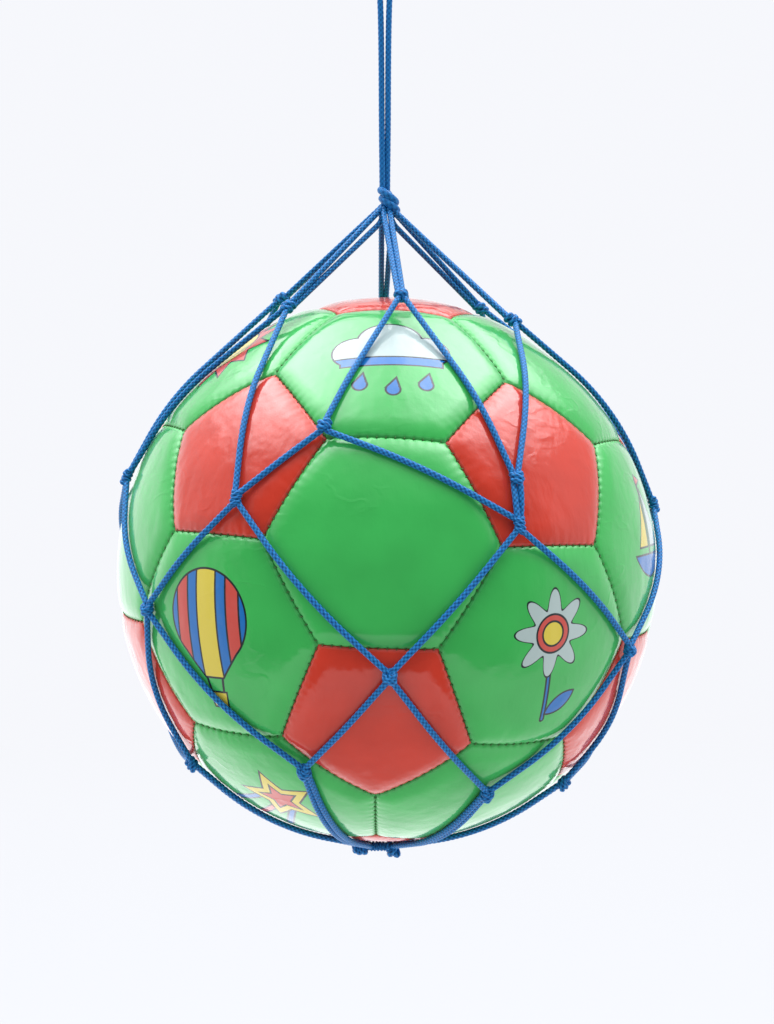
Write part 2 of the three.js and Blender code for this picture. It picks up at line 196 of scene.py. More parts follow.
# Hanging loop, from the peg down
LOOP_LENGTH = 70.0
EYE_RADIUS = 3.85
EYE_TAPER = 8.0
LOOP_TUCK = 1.6  # of each strand into the top knot
LOOP_TURN = 35.0  # degrees that the doubled cord turns above the knot
LOOP_TURN_FROM = 0.6  # share of its length where that starts
LOOP_LEAN = 0.6  # of the cord to the left below the eye
LOOP_LEAN_BY = 0.3  # share of its length where it has that lean
LOOP_POINTS = 260  # on each strand
EYE_POINTS = 60

MM = 0.001
BALL_MIDDLE = np.array(next(j["pos_m"] for j in frame["joints"] if j["name"] == "ball_turn"))
NET_RADIUS = BALL_RADIUS + CORD_LIFT + CORD_RADIUS
KNOT_SEAT = BALL_RADIUS + CORD_LIFT + KNOT_RADIUS
TOP_KNOT_HEIGHT = BALL_RADIUS + TOP_KNOT_RISE
RIGHT, BACK, UP = np.eye(3)


def unit(v):
    v = np.asarray(v, float)
    return v / np.linalg.norm(v, axis=-1, keepdims=True)


def direction(azimuth, latitude):
    a, b = math.radians(azimuth), math.radians(latitude)
    return np.array([math.cos(b) * math.sin(a), -math.cos(b) * math.cos(a), math.sin(b)])


def swept(angle, first, second):
    """What lies at each angle from the first direction towards the second."""
    return np.cos(angle)[..., None] * first + np.sin(angle)[..., None] * second


def smooth_step(value, low, high):
    share = np.clip((value - low) / (high - low), 0, 1)
    return share * share * (3 - 2 * share)


def square_to(v, axis):
    """The part of v square to an axis."""
    return v - (v * axis).sum(-1, keepdims=True) * axis


# Meshes


def placed(points):
    """Millimetres round the ball's middle to metres in the part's frame."""
    return np.asarray(points) * MM + BALL_MIDDLE


def grid_faces(rows, columns, closed_rows=False, flip=False):
    """Quads of a grid whose rows are closed rings; closed_rows joins the last ring to the first."""
    last = rows if closed_rows else rows - 1
    row, column = np.meshgrid(np.arange(last), np.arange(columns), indexing="ij")
    this, after, beside = row * columns, (row + 1) % rows * columns, (column + 1) % columns
    corners = [this + column, this + beside, after + beside, after + column]
    if flip:
        corners.reverse()
    return np.stack(corners, -1).reshape(-1, 4).tolist()


def fan_faces(pole, ring, flip=False):
    pairs = list(zip(ring, ring[1:] + ring[:1]))
    return [[pole, b, a] if flip else [pole, a, b] for a, b in pairs]


def make_piece(name, body, material, points, faces, attributes=None, stands_for=()):
    """A smooth mesh piece that rides on a body; points are metres in the part's frame."""
    mesh = bpy.data.meshes.new(name)
    mesh.from_pydata(np.asarray(points).tolist(), [], faces)
    mesh.shade_smooth()
    for label, values in (attributes or {}).items():
        kind, key = ("FLOAT_VECTOR", "vector") if values.ndim == 2 else ("FLOAT", "value")
        layer = mesh.attributes.new(label, kind, "POINT")
        layer.data.foreach_set(key, values.astype(np.float32).ravel())
    mesh.materials.append(material)
    piece = bpy.data.objects.new(name, mesh)
    scene.collection.objects.link(piece)
    if stands_for:
        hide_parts(*stands_for)
    if body:
        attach(piece, body)
    return piece


# Materials


class Field:
    """A number over a surface, worked out by Math nodes."""

    def __init__(self, tree, socket):
        self.tree = tree
        self.socket = socket

    def math(self, operation, *others):
        node = self.tree.nodes.new("ShaderNodeMath")
        node.operation = operation
        for place, value in zip(node.inputs, (self, *others)):
            if isinstance(value, Field):
                self.tree.links.new(value.socket, place)
            else:
                place.default_value = value
        return Field(self.tree, node.outputs[0])

    def __add__(self, other):
        return self.math("ADD", other)

    def __sub__(self, other):
        return self.math("SUBTRACT", other)

    def __mul__(self, other):
        return self.math("MULTIPLY", other)

    def min(self, other):
        return self.math("MINIMUM", other)

    def max(self, other):
        return self.math("MAXIMUM", other)

    def abs(self):
        return self.math("ABSOLUTE")

    def sqrt(self):
        return self.math("SQRT")

    def clamp(self):
        return self.min(1.0).max(0.0)

    def ramp(self, start, full):
        """From 0 at the start to 1 where it is full, which may be the lower of the two."""
        return ((self - start) * (1.0 / (full - start))).clamp()


def new_material(name, **settings):
    """A material, its nodes and its shader, with plain values for the shader's sockets."""
    material = bpy.data.materials.new(name)
    material.use_nodes = True
    tree = material.node_tree
    shader = tree.nodes["Principled BSDF"]
    for socket, value in settings.items():
        shader.inputs[socket.replace("_", " ")].default_value = value
    return material, tree, shader


def noise_field(tree, size_mm, detail=2.0, stretch=(1.0, 1.0, 1.0)):
    """Noise of about that grain, in the piece's own coordinates."""
    coordinates = tree.nodes.new("ShaderNodeTexCoord")
    mapping = tree.nodes.new("ShaderNodeMapping")
    mapping.inputs["Scale"].default_value = stretch
    texture = tree.nodes.new("ShaderNodeTexNoise")
    texture.inputs["Scale"].default_value = 1.0 / (size_mm * MM)
    texture.inputs["Detail"].default_value = detail
    tree.links.new(coordinates.outputs["Object"], mapping.inputs["Vector"])
    tree.links.new(mapping.outputs["Vector"], texture.inputs["Vector"])
    return Field(tree, texture.outputs["Fac"])


def parted(tree, vector):
    split = tree.nodes.new("ShaderNodeSeparateXYZ")
    tree.links.new(vector, split.inputs[0])
    return [Field(tree, split.outputs[k]) for k in range(3)]


def coordinate_fields(tree, kind):
    return parted(tree, tree.nodes.new("ShaderNodeTexCoord").outputs[kind])


def attribute_fields(tree, name):
    node = tree.nodes.new("ShaderNodeAttribute")
    node.attribute_name = name
    return parted(tree, node.outputs["Vector"]), Field(tree, node.outputs["Fac"])


def mixed(tree, share, under, over):
    """Colour over laid on colour under; each is a colour or a socket."""
    node = tree.nodes.new("ShaderNodeMix")
    node.data_type = "RGBA"
    tree.links.new(share.socket, node.inputs["Factor"])
    for place, colour in (("A", under), ("B", over)):
        socket = next(s for s in node.inputs if s.name == place and s.type == "RGBA")
        if isinstance(colour, tuple):
            socket.default_value = (*colour, 1.0)
        else:
            tree.links.new(colour, socket)
    return next(s for s in node.outputs if s.type == "RGBA")


def shaded(colour, share):
    return tuple(share * c for c in colour)


def bumped(tree, height, distance_mm, normal=None):
    node = tree.nodes.new("ShaderNodeBump")
    node.inputs["Strength"].default_value = 1.0
    node.inputs["Distance"].default_value = distance_mm * MM
    tree.links.new(height.socket, node.inputs["Height"])
    if normal is not None:
        tree.links.new(normal, node.inputs["Normal"])
    return node.outputs["Normal"]


# Printed motifs: distances in millimetres, negative inside a shape

INK = (0.012, 0.02, 0.022)
BLUE = (0.012, 0.165, 0.5)
WHITE = (0.45, 0.56, 0.535)
YELLOW = (0.72, 0.58, 0.06)
CORAL = (0.62, 0.08, 0.06)
INK_LINE = 0.55
PRINT_EDGE = 0.1


def circle(x, y, at, radius):
    dx, dy = x - at[0], y - at[1]
    return (dx * dx + dy * dy).sqrt() - radius


def stroke(x, y, start, end, radius):
    """A round-ended line."""
    along, up = end[0] - start[0], end[1] - start[1]
    px, py = x - start[0], y - start[1]
    share = ((px * along + py * up) * (1.0 / (along**2 + up**2))).clamp()
    dx, dy = px - share * along, py - share * up
    return (dx * dx + dy * dy).sqrt() - radius


def convex(x, y, corners):
    """A polygon from its corners, anticlockwise."""
    sides = []
    for (ax, ay), (bx, by) in zip(corners, corners[1:] + corners[:1]):
        length = math.hypot(bx - ax, by - ay)
        nx, ny = (by - ay) / length, (ax - bx) / length
        sides.append(x * nx + y * ny - (ax * nx + ay * ny))
    shape = sides[0]
    for side in sides[1:]:
        shape = shape.max(side)
    return shape


def polar(x, y, at):
    dx, dy = x - at[0], y - at[1]
    return (dx * dx + dy * dy).sqrt(), dx.math("ARCTAN2", dy)


def star(x, y, at, points, outer, inner):
    half = math.pi / points
    reach, angle = polar(x, y, at)
    folded = (angle + half).math("FLOORED_MODULO", 2 * half) - half
    px, py = reach * folded.math("COSINE"), (reach * folded.math("SINE")).abs()
    nx, ny = inner * math.sin(half), outer - inner * math.cos(half)
    length = math.hypot(nx, ny)
    return (px - outer) * (nx / length) + py * (ny / length)


def petals(x, y, at, count, radius, wave):
    reach, angle = polar(x, y, at)
    return reach - (angle * float(count)).math("COSINE") * wave - radius


def motif_cloud(x, y):
    puffs = [circle(x, y, at, r) for at, r in (((-9, 2), 6.2), ((0, 6), 8.6), ((9.5, 2.4), 6.0))]
    base = convex(x, y, [(-13, -4), (13.5, -4), (13.5, 2), (-13, 2)])
    cloud = puffs[0].min(puffs[1]).min(puffs[2]).min(base)
    shade = cloud.max(y + 0.6)
    drops = []
    for dx, dy in ((-8, -11), (0.5, -13), (9, -11)):
        tip = convex(x, y, [(dx - 1.75, dy + 0.8), (dx + 1.75, dy + 0.8), (dx + 0.9, dy + 4.2)])
        drops.append((circle(x, y, (dx, dy), 1.9).min(tip), BLUE))
    return [(cloud, WHITE), (shade, BLUE), *drops]


def motif_balloon(x, y):
    skirt = convex(x, y, [(-3, -10), (3, -10), (10.6, -0.6), (-10.6, -0.6)])
    envelope = circle(x, y, (0, 6), 12.5).min(skirt)
    gores = [(envelope.max(x.abs() - 3.2), YELLOW)]
    gores.append((envelope.max((x.abs() - 8.4).abs() - 2.0), CORAL))
    ropes = [(stroke(x, y, (side * 2.6, -10), (side * 2.0, -14), 0.1), INK) for side in (-1, 1)]
    basket = convex(x, y, [(-2.3, -18.4), (2.3, -18.4), (2.9, -14), (-2.9, -14)])
    return [*ropes, (envelope, BLUE), *gores, (basket, YELLOW)]


def motif_flower(x, y):
    stem = stroke(x, y, (0.2, -4), (2.0, -19), 0.55)
    leaf = circle(x, y, (9.4, -18.4), 7.2).max(circle(x, y, (3.4, -10.4), 7.2))
    blossom = petals(x, y, (0, 5), 8, 9.0, 2.6)
    ring, heart = circle(x, y, (0, 5), 5.0), circle(x, y, (0, 5), 3.2)
    bloom = [(blossom, WHITE), (ring, CORAL), (heart, YELLOW)]
    return [(stem, BLUE), (leaf, BLUE), *bloom]


def motif_star(x, y):
    trails = [
        (stroke(x, y, (1, 0), (-14, -11), 0.9), CORAL),
        (stroke(x, y, (4, -3), (-6, -15), 0.9), BLUE),
        (stroke(x, y, (-2, 4), (-17, -3), 0.9), BLUE),
    ]
    large, small = star(x, y, (4, 3), 5, 12.0, 5.6), star(x, y, (4, 3), 5, 6.4, 3.0)
    return [*trails, (large, YELLOW), (small, CORAL)]


def motif_boat(x, y):
    hull = circle(x, y, (0, 4), 15.0).max(y + 5.0)
    mast = stroke(x, y, (0, -5), (0, 15), 0.35)
    main = convex(x, y, [(1.2, -3), (10.8, -3), (1.2, 13)])
    jib = convex(x, y, [(-8.6, -3), (-1.2, -3), (-1.2, 10)])
    flag = convex(x, y, [(0.3, 13.6), (5.4, 15), (0.3, 16.6)])
    sails = [(main, WHITE), (jib, YELLOW)]
    return [(mast, INK), (hull, BLUE), *sails, (flag, CORAL)]


def motif_sun(x, y):
    rays, disc = star(x, y, (0, 0), 11, 15.5, 10.0), circle(x, y, (0, 0), 8.2)
    return [(rays, CORAL), (disc, YELLOW)]


def printed(tree, colour, layers):
    """Shapes filled and inked over a colour, one after another."""
    edge = PRINT_EDGE / 2
    for shape, fill in layers:
        outline = shape.abs() - INK_LINE / 2
        colour = mixed(tree, shape.ramp(edge, -edge), colour, fill)
        colour = mixed(tree, outline.ramp(edge, -edge), colour, INK)
    return colour


# Glossy PVC sheet: faintly uneven colour, painted shade in the seams, fine grain and soft creases

MOTTLE = (0.35, 0.85)  # noise between which the colour goes from dark to full
MOTTLE_DARK = 0.86
# The next three settings paint shade into the seams: the colour darkens towards their grooves
SEAM_PAINTED_SHADE = 0.2  # how far the colour darkens in a seam
SEAM_DARK = 0.35  # towards this share of it
SEAM_PAINTED_SHADE_REACH = 0.625
SEAM_DULLNESS = 0.4  # how much rougher a seam is
SEAM_DULL_REACH = 1.25
SCUFF_DULLNESS = 0.1
SHEET_ROUGHNESS = 0.07
CREASE_WIDTH = 0.0455  # in noise
CREASE_PLACES = (0.5, 0.625)  # noise between which creases come up
DIMPLE_DEPTH = 2.5  # in depths of a wrinkle


def sheet_material(name, colour, wrinkle_mm, motif=None):
    material, tree, shader = new_material(name, IOR=1.55, Sheen_Weight=0.17, Sheen_Roughness=0.4)
    (x, y, seam), _ = attribute_fields(tree, "panel_xy")
    mottle = noise_field(tree, size_mm=14.0).ramp(*MOTTLE)
    base = mixed(tree, mottle, shaded(colour, MOTTLE_DARK), colour)
    if motif:
        base = printed(tree, base, motif(x, y))
    # painted shade in the seams
    shade = seam.ramp(SEAM_PAINTED_SHADE_REACH, 0.0) * SEAM_PAINTED_SHADE
    base = mixed(tree, shade, base, shaded(colour, SEAM_DARK))
    tree.links.new(base, shader.inputs["Base Color"])
    scuffs = noise_field(tree, size_mm=6.0, detail=4.0) * SCUFF_DULLNESS
    roughness = scuffs + seam.ramp(SEAM_DULL_REACH, 0.0) * SEAM_DULLNESS + SHEET_ROUGHNESS
    tree.links.new(roughness.socket, shader.inputs["Roughness"])
    folds = noise_field(tree, size_mm=16.0, detail=2.5, stretch=(1.0, 1.0, 1.8))
    places = noise_field(tree, size_mm=24.0).ramp(*CREASE_PLACES)
    creases = (folds - 0.5).abs().ramp(CREASE_WIDTH, 0.0) * places
    wrinkles = noise_field(tree, size_mm=3.0, detail=3.0, stretch=(1.0, 1.0, 0.35))
    dimples = noise_field(tree, size_mm=8.0)
    grain = noise_field(tree, size_mm=0.7)
    normal = bumped(tree, creases, distance_mm=0.05)
    normal = bumped(tree, dimples, DIMPLE_DEPTH * wrinkle_mm, normal)
    normal = bumped(tree, wrinkles, wrinkle_mm, normal)
    normal = bumped(tree, grain, 0.008, normal)
    tree.links.new(normal, shader.inputs["Normal"])
    return material


# Painted shade in the braid's pits and a painted highlight on its bundles, both set by the braid's tone
PIT_PAINTED_SHADE = 0.24  # share of a cord's colour in the pits of its braid
PIT_TONES = (0.2, 0.6)  # between which it goes from dark to full
# the tone where the painted highlight on the bundles starts
HIGHLIGHT_FROM = 0.6  # tone where its bundles start to shine
HIGHLIGHT_GAIN = 3.0
FIBRE_GAIN = 0.8


def cord_material(name, colour, light):
    """Braided cord: a painted highlight on its bundles and painted shade in the pits between their
    crossings.
    """
    gloss = {"Roughness": 0.46, "Specular_IOR_Level": 0.2}
    sheen = {"Sheen_Weight": 0.06, "Sheen_Roughness": 0.3, "Sheen_Tint": (0.3, 0.7, 1.0, 1.0)}
    material, tree, shader = new_material(name, **gloss, **sheen)
    _, weave = attribute_fields(tree, "weave")
    fibres = noise_field(tree, size_mm=0.16)
    # painted shade darkens the braid's pits
    base = mixed(tree, weave.ramp(*PIT_TONES), shaded(colour, PIT_PAINTED_SHADE), colour)
    # painted highlight lightens the bundles' tops, broken up by the fibres
    painted_highlight = ((weave - HIGHLIGHT_FROM) * HIGHLIGHT_GAIN + (fibres - 0.5) * FIBRE_GAIN).clamp()
    base = mixed(tree, painted_highlight, base, light)
    tree.links.new(base, shader.inputs["Base Color"])
    tree.links.new(bumped(tree, fibres, distance_mm=0.03), shader.inputs["Normal"])
    return material


GRAIN_SHADES = (0.7, 1.2)  # shares of the colour between which a grain varies
GRAIN_DULLNESS = 0.2  # how much its roughness varies


def plain_material(name, colour, roughness, grain_mm):
    """Rubber or thread: a colour that varies a little, with a fine grain."""
    material, tree, shader = new_material(name)
    grain = noise_field(tree, grain_mm, detail=3.0)
    dark, light = [shaded(colour, share) for share in GRAIN_SHADES]
    dullness = (grain - 0.5) * GRAIN_DULLNESS + roughness
    tree.links.new(mixed(tree, grain, dark, light), shader.inputs["Base Color"])
    tree.links.new(dullness.socket, shader.inputs["Roughness"])
    tree.links.new(bumped(tree, grain, distance_mm=0.02), shader.inputs["Normal"])
    return material


GREEN = (0.055, 0.52, 0.105)
GREEN_WRINKLE = 0.08
RED = (0.7, 0.052, 0.026)
RED_WRINKLE = 0.16
CORD_BLUE = (0.008, 0.13, 0.385)
# colour of the painted highlight on the cord's bundles
CORD_HIGHLIGHT = (0.026, 0.27, 0.65)
THREAD_GREEN = (0.08, 0.18, 0.05)
RUBBER_BLACK = (0.02, 0.02, 0.022)
sheet_red = sheet_material("pvc_red", RED, RED_WRINKLE)
sheet_green = sheet_material("pvc_green", GREEN, GREEN_WRINKLE)
cord_blue = cord_material("braided_cord", CORD_BLUE, CORD_HIGHLIGHT)
thread_dark = plain_material("seam_thread", THREAD_GREEN, roughness=0.7, grain_mm=0.3)
rubber_black = plain_material("rubber", RUBBER_BLACK, roughness=0.6, grain_mm=0.8)

PRINTS = {  # motifs, and the panels that bear them
    motif_cloud: ["hexagon_top_1"],
    motif_balloon: ["hexagon_lower_5", "hexagon_upper_4"],
    motif_flower: ["hexagon_lower_1", "hexagon_bottom_3"],
    motif_star: ["hexagon_bottom_5"],
    motif_boat: ["hexagon_upper_2", "hexagon_lower_3"],
    motif_sun: ["hexagon_top_5", "hexagon_bottom_2"],
}
sheet_printed = {}
for motif, panels in PRINTS.items():
    name = motif.__name__.replace("motif", "pvc_green")
    sheet_printed.update(dict.fromkeys(panels, sheet_material(name, GREEN, GREEN_WRINKLE, motif)))


# Panels: a pentagon round each corner of an icosahedron, a hexagon on each of its faces


def lie_of_ball():
    """How the ball happens to lie in its net, as a matrix."""
    return np.array(Euler((0.0, math.radians(BALL_ROLL), math.radians(BALL_TURN))).to_matrix())


def panel_corners():
    """Each panel's corners as directions from the ball's middle, anticlockwise from outside."""
    ring = math.degrees(math.atan(0.5))  # latitude of an icosahedron's two rings of corners
    top, bottom = UP, -UP
    upper = [direction(72 * i + 36, ring) for i in range(5)]
    lower = [direction(72 * i, -ring) for i in range(5)]
    centres = [top, bottom, *upper, *lower]

    def near(a, b):
        return unit(2 * a + b)

    def around(points):
        points = np.array(points)
        axis = unit(points.sum(0))
        first = unit(square_to(points[0], axis))
        second = np.cross(axis, first)
        return points[np.argsort(np.arctan2(points @ second, points @ first))]

    def pentagon(centre):
        neighbours = [other for other in centres if 0 < centre @ other < 0.9]
        return around([near(centre, other) for other in neighbours])

    def hexagon(a, b, c):
        return around([near(p, q) for p, q in ((a, b), (b, a), (b, c), (c, b), (c, a), (a, c))])

    panels = {"pentagon_top": pentagon(top), "pentagon_bottom": pentagon(bottom)}
    for i in range(5):
        after, before = (i + 1) % 5, (i + 4) % 5
        panels[f"pentagon_upper_{i + 1}"] = pentagon(upper[i])
        panels[f"pentagon_lower_{i + 1}"] = pentagon(lower[i])
        panels[f"hexagon_top_{i + 1}"] = hexagon(top, upper[before], upper[i])
        panels[f"hexagon_upper_{i + 1}"] = hexagon(upper[before], upper[i], lower[i])
        panels[f"hexagon_lower_{i + 1}"] = hexagon(upper[i], lower[i], lower[after])
        panels[f"hexagon_bottom_{i + 1}"] = hexagon(bottom, lower[i], lower[after])
    lie = lie_of_ball()
    return {name: corners @ lie.T for name, corners in panels.items()}


def seam_places(u, corners):
    """For directions on a panel: distance in from the seams, and nearness to a stitch, from 0 to 1."""
    following = np.roll(corners, -1, axis=0)
    edges = unit(np.cross(corners, following))
    distances = BALL_RADIUS * np.arcsin(np.clip(u @ edges.T, -1, 1))
    soft = -CORNER_SOFTNESS * np.log(np.exp(-distances / CORNER_SOFTNESS).sum(-1))
    nearest = distances.argmin(-1)
    start, edge = corners[nearest], edges[nearest]
    angle = np.arctan2((u * np.cross(edge, start)).sum(-1), (u * start).sum(-1))
    whole = math.acos(float(corners[0] @ following[0]))
    stitch = 0.5 - 0.5 * np.cos(math.tau * STITCHES * angle / whole)
    return np.maximum(soft, 0.0), stitch


def surface_noise(points, sizes):
    """Smooth noise at each point, of the sizes given along x, y and z."""
    scaled = points / np.asarray(sizes)
    return np.array([noise.noise(Vector(p)) for p in scaled])


def crown(u, corners, seed):
    """Radius of a panel's outer face: puffed, drawn in at its stitched edges, slightly creased."""
    inset, stitch = seam_places(u, corners)
    drawn = np.maximum(inset - STITCH_PULL * stitch**3 * np.exp(-inset / STITCH_REACH), 0.0)
    depth = PUFF_DEPTH * np.maximum(1 - drawn / PUFF_REACH, 0.0) ** 2
    rolled = np.maximum(EDGE_ROLL - drawn, 0.0)
    depth += EDGE_ROLL - np.sqrt(EDGE_ROLL**2 - rolled**2)
    depth += PUCKER_DEPTH * stitch * np.exp(-inset / PUCKER_REACH)
    points = u * BALL_RADIUS + SEED_STEP * seed
    wrinkle = surface_noise(points, WRINKLE_SIZE)
    dent = surface_noise(points, DENT_SIZE)
    depth += WRINKLE_DEPTH * (0.5 + 0.5 * wrinkle) + DENT_DEPTH * (0.5 + 0.5 * dent)
    rise = TOP_RISE * smooth_step(u[:, 2], TOP_RISE_FROM, 1.0)
    return BALL_RADIUS + rise - depth, inset


def panel_skin(name, corners, seed):
    middle = unit(corners.sum(0))
    share = (np.arange(EDGE_STEPS) / EDGE_STEPS)[:, None]
    edges = zip(corners, np.roll(corners, -1, axis=0))
    rim = np.concatenate([unit((1 - share) * a + share * b) for a, b in edges])
    reach = np.arccos(np.clip(rim @ middle, -1, 1)) - SEAM_GAP / 2 / BALL_RADIUS
    sideways = unit(square_to(rim, middle))
    hole = (VALVE_HEAD_RADIUS + VALVE_CLEARANCE) / BALL_RADIUS if name == VALVE_PANEL else 0.0

    def ring(t):
        return swept(hole + (reach - hole) * t, middle, sideways)

    steps = np.arange(0 if hole else 1, CROWN_RINGS + 1) / CROWN_RINGS
    outer = np.concatenate([ring(1 - (1 - t) ** CROWN_CROWDING) for t in steps])
    radius, inset = crown(outer, corners, seed)
    if hole:
        across = BALL_RADIUS * (np.arccos(np.clip(outer @ middle, -1, 1)) - hole)
        radius -= VALVE_EDGE_DEPTH * np.maximum(1 - across / VALVE_EDGE_REACH, 0.0) ** 2
    inner_steps = (*INNER_RINGS, 0.0) if hole else INNER_RINGS
    inner = np.concatenate([ring(t) for t in inner_steps])
    points = np.concatenate([outer * radius[:, None], inner * (BALL_RADIUS - PANEL_THICKNESS)])
    inset = np.concatenate([inset, np.zeros(len(inner))])
    columns = len(rim)
    rows = len(points) // columns
    faces = grid_faces(rows, columns, closed_rows=bool(hole), flip=True)
    if not hole:
        top_radius, top_inset = crown(middle[None], corners, seed)
        poles = np.array([middle * top_radius[0], middle * (BALL_RADIUS - PANEL_THICKNESS)])
        first, last = len(points), len(points) + 1
        faces += fan_faces(first, list(range(columns)))
        faces += fan_faces(last, list(range((rows - 1) * columns, rows * columns)), flip=True)
        points = np.concatenate([points, poles])
        inset = np.concatenate([inset, [top_inset[0], 0.0]])
    north = unit(square_to(UP, middle)) if abs(middle[2]) < 0.99 else BACK
    east = np.cross(north, middle)
    directions = unit(points)
    across = BALL_RADIUS * np.arccos(np.clip(directions @ middle, -1, 1))
    heading = np.arctan2(directions @ north, directions @ east)
    panel_xy = np.stack([across * np.cos(heading), across * np.sin(heading), inset], -1)
    return points, faces, panel_xy


PANELS = panel_corners()
for seed, (name, corners) in enumerate(PANELS.items()):
    if name.startswith("pentagon"):
        slot, material = "panel_red", sheet_red
    else:
        slot, material = "panel_green", sheet_printed.get(name, sheet_green)
    points, faces, panel_xy = panel_skin(name, corners, seed)
    attributes = {"panel_xy": panel_xy}
    make_piece(f"{name}_skin", "ball", material, placed(points), faces, attributes, [name])


# Tubes


def resampled(path, step):
    path = np.asarray(path, float)
    lengths = np.concatenate([[0.0], np.cumsum(np.linalg.norm(np.diff(path, axis=0), axis=1))])
    count = max(3, int(round(lengths[-1] / step)) + 1)
    at = np.linspace(0.0, lengths[-1], count)
    return np.stack([np.interp(at, lengths, path[:, k]) for k in range(3)], -1), at


def braid(at, angle):
    """A braid's bundles, over one and under the next: their height, and its tone, which sets the cord's
    painted shade in the pits and painted highlight on the bundles.
    """
    around = angle * BRAID_STRANDS / math.tau
    one, other = around + at / BRAID_PITCH, around - at / BRAID_PITCH
    over = (np.floor(one) + np.floor(other)) % 2 == 0
    across, along = np.where(over, one, other), np.where(over, other, one)
    dip = 1 - np.abs(np.sin(math.pi * along))
    ridge = np.abs(np.sin(math.pi * across)) * (1 - BRAID_DIP * dip)
    from_pit = np.hypot(np.sin(math.pi * one), np.sin(math.pi * other)) / math.sqrt(2)
    return ridge, (1 - PIT_SHARE) * ridge + PIT_SHARE * from_pit


def tube(path, reference, radius, sides=CORD_SIDES, step=CORD_STEP, relief=1.0):
    """A closed tube with round ends along a path; the reference gives a direction across each point."""
    path, at = resampled(path, step)
    tangent = unit(np.gradient(path, axis=0))
    across = unit(square_to(np.broadcast_to(reference(path), path.shape), tangent))
    other = np.cross(tangent, across)
    angle = np.arange(sides) * math.tau / sides
    ridge, weave = braid(at[:, None], angle[None, :])
    ridge = 1 - relief * (1 - ridge)
    weave = STRETCHED_TONE + relief * (weave - STRETCHED_TONE)
    from_end = np.minimum(at, at[-1] - at)
    rounding = np.sqrt(np.clip(1 - np.maximum(1 - from_end / radius, 0.0) ** 2, 0.0, 1.0))
    rounding = np.maximum(rounding, END_SIZE)
    reach = (radius - BRAID_DEPTH * (1 - ridge)) * rounding[:, None]
    ring = swept(angle[None, :], across[:, None], other[:, None])
    points = (path[:, None] + reach[:, :, None] * ring).reshape(-1, 3)
    faces = grid_faces(len(path), sides)
    faces.append(list(range(sides))[::-1])
    faces.append(list(range(len(points) - sides, len(points))))
    return points, faces, weave.ravel()


def joined(parts):
    """Several tubes as one mesh."""
    points, faces, weaves, start = [], [], [], 0
    for part_points, part_faces, part_weave in parts:
        points.append(part_points)
        weaves.append(part_weave)
        faces += [[start + k for k in face] for face in part_faces]
        start += len(part_points)
    return np.concatenate(points), faces, np.concatenate(weaves)


outward = unit  # from the ball's middle


# Stitches: a short thread across the seam at each hole


def seams():
    found = {}
    for corners in PANELS.values():
        for a, b in zip(corners, np.roll(corners, -1, axis=0)):
            key = frozenset((tuple(np.round(a, 4)), tuple(np.round(b, 4))))
            found.setdefault(key, (a, b))
    return list(found.values())


def stitch(a, b, share):
    """One stitch at a share of the way along the seam from a to b."""
    edge = unit(np.cross(a, b))
    angle = math.acos(float(a @ b)) * share
    along = np.cross(edge, a)
    middle = math.cos(angle) * a + math.sin(angle) * along
    forward = -math.sin(angle) * a + math.cos(angle) * along
    across = unit(edge + THREAD_SLANT * forward)
    t = np.linspace(-1, 1, 9)[:, None]
    height = BALL_RADIUS - THREAD_DEPTH - THREAD_SINK * t**4
    path = middle * height + across * t * THREAD_HALF
    return tube(path, outward, THREAD_RADIUS, THREAD_SIDES, THREAD_STEP, relief=0.0)


threads = [stitch(a, b, (k + 0.5) / STITCHES) for a, b in seams() for k in range(STITCHES)]
points, faces, _ = joined(threads)
make_piece("seam_stitches", "ball", thread_dark, placed(points), faces)


# Valve and bladder


def turned(profile, axis, sides):
    """A solid turned about an axis through the ball's middle; the profile is (radius, distance out)."""
    first = unit(square_to(UP, axis))
    second = np.cross(axis, first)
    ring = swept(np.arange(sides) * math.tau / sides, first, second)
    rows = [out * axis + radius * ring for radius, out in profile[1:-1]]
    points = np.concatenate([*rows, [profile[0][1] * axis, profile[-1][1] * axis]])
    count = len(rows) * sides
    faces = grid_faces(len(rows), sides)
    faces += fan_faces(count, list(range(sides)), flip=True)
    faces += fan_faces(count + 1, list(range(count - sides, count)))
    return points, faces


def valve():
    """A soft plug with a raised lip, a dished face and the hole for a pump's needle."""
    axis = unit(PANELS[VALVE_PANEL].sum(0))
    face = BALL_RADIUS - VALVE_RECESS
    under = BALL_RADIUS - PANEL_THICKNESS
    end, low, high = [under - d for d in (VALVE_TAIL_LENGTH, *VALVE_FLANGE)]
    tail, wide, head, hole = VALVE_TAIL_RADIUS, VALVE_FLANGE_RADIUS, VALVE_HEAD_RADIUS, NEEDLE_RADIUS
    bottom = face - NEEDLE_DEPTH
    tail_line = [(0, end), (tail - 0.4, end), (tail, end + 0.4), (tail, low)]
    flange = [(wide - 0.3, low), (wide, low + 0.4), (wide, high - 0.2), (wide - 0.3, high)]
    neck = [(VALVE_NECK_RADIUS, high), (VALVE_NECK_RADIUS, under)]
    lip = [(head, under), (head, face - 0.5), (head - 0.15, face - 0.15), (head - 0.5, face)]
    dish = [(head - 0.9, face - 0.1), (head - 1.3, face - 0.3), (1.5, face - 0.35), (0.9, face - 0.3)]
    needle_hole = [(hole + 0.05, face - 0.45), (hole, face - 0.8), (hole, bottom), (0, bottom)]
    return turned(tail_line + flange + neck + lip + dish + needle_hole, axis, VALVE_SIDES)


points, faces = valve()
make_piece("valve_plug", "ball", rubber_black, placed(points), faces, None, ["valve"])
bladder = frame["nodes"]["bladder"]
bladder.data.materials.clear()
bladder.data.materials.append(rubber_black)


# Net


def line(a, b):
    return np.linspace(a, b, LINE_POINTS)


